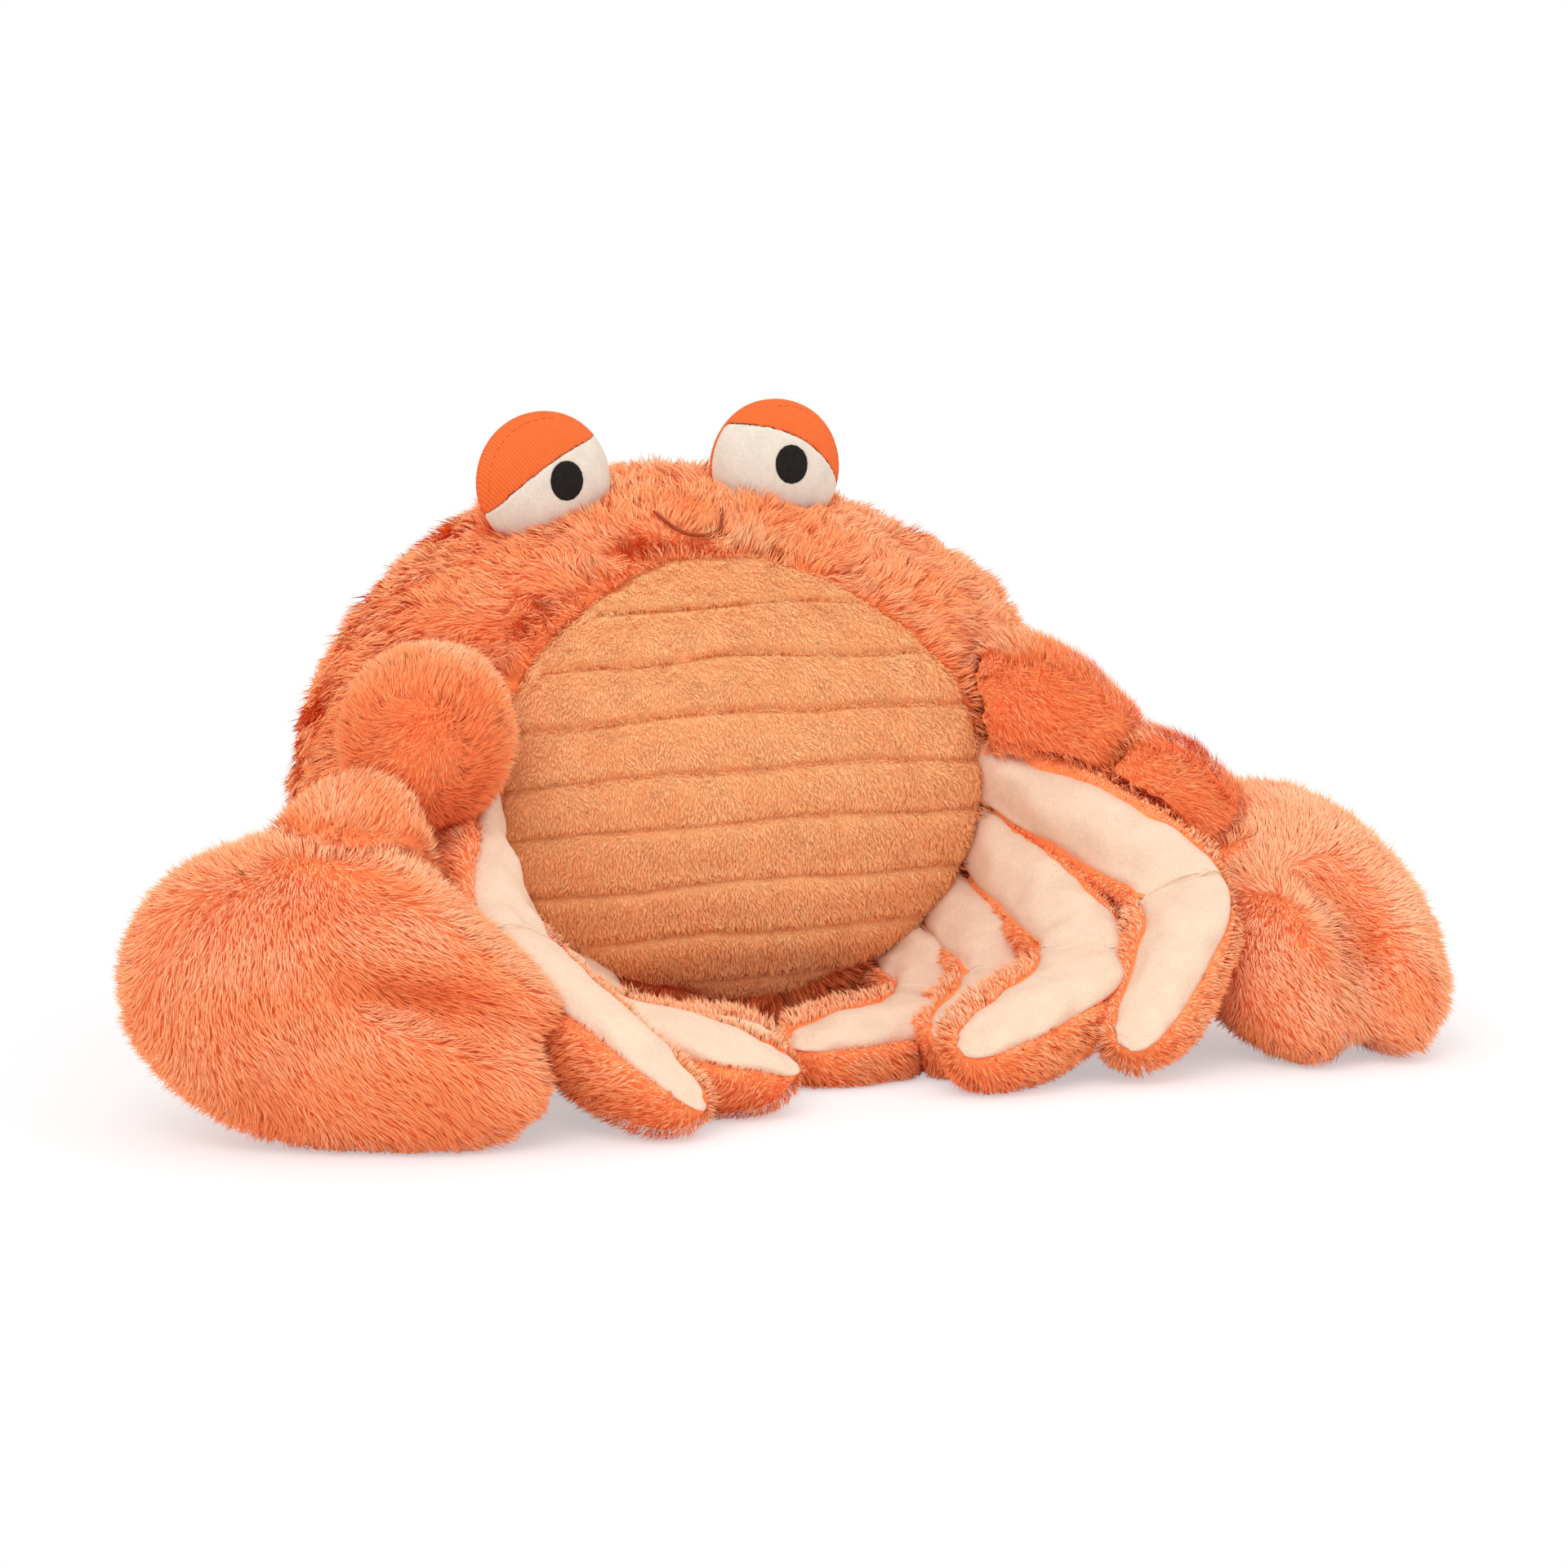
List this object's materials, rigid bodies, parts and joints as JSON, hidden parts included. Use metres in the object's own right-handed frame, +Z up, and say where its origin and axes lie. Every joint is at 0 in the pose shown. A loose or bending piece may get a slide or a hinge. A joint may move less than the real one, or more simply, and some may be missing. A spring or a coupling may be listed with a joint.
{
  "type": "plush crab",
  "caption": "Soft stuffed toy crab sitting upright, long-pile body, ribbed oval belly, puffed eyes with lids, bent legs with smooth faces, two mitten claws.",
  "frame": {"origin": "middle of the toy's footprint, on the surface that it sits on", "axes": "+X across the toy towards the claw on the right as seen from the front, +Z up, belly and face towards -Y"},
  "size_m": [0.4398, 0.283, 0.2069],
  "materials": {
    "fur": "long soft pile",
    "belly_pile": "short soft pile",
    "suede": "smooth brushed knit",
    "twill": "twill weave",
    "eye_felt": "smooth felt",
    "pupil_cloth": "close weave",
    "mouth_thread": "embroidery thread"
  },
  "bodies": {
    "root": {"body": "fur", "belly_panel": "belly_pile", "mouth_stitch": "mouth_thread", "left_eye_back": "twill", "left_eyelid": "twill", "left_eye_white": "eye_felt", "left_pupil": "pupil_cloth", "left_claw": "fur", "left_upper_arm": "fur", "left_forearm": "fur", "left_leg_1_face": "suede", "left_leg_1_back": "fur", "left_leg_2_face": "suede", "left_leg_2_back": "fur", "left_leg_3_face": "suede", "left_leg_3_back": "fur", "left_leg_4_face": "suede", "left_leg_4_back": "fur", "right_eye_back": "twill", "right_eyelid": "twill", "right_eye_white": "eye_felt", "right_pupil": "pupil_cloth", "right_claw": "fur", "right_upper_arm": "fur", "right_forearm": "fur", "right_leg_1_face": "suede", "right_leg_1_back": "fur", "right_leg_2_face": "suede", "right_leg_2_back": "fur", "right_leg_3_face": "suede", "right_leg_3_back": "fur", "right_leg_4_face": "suede", "right_leg_4_back": "fur"}
  },
  "joints": []
}
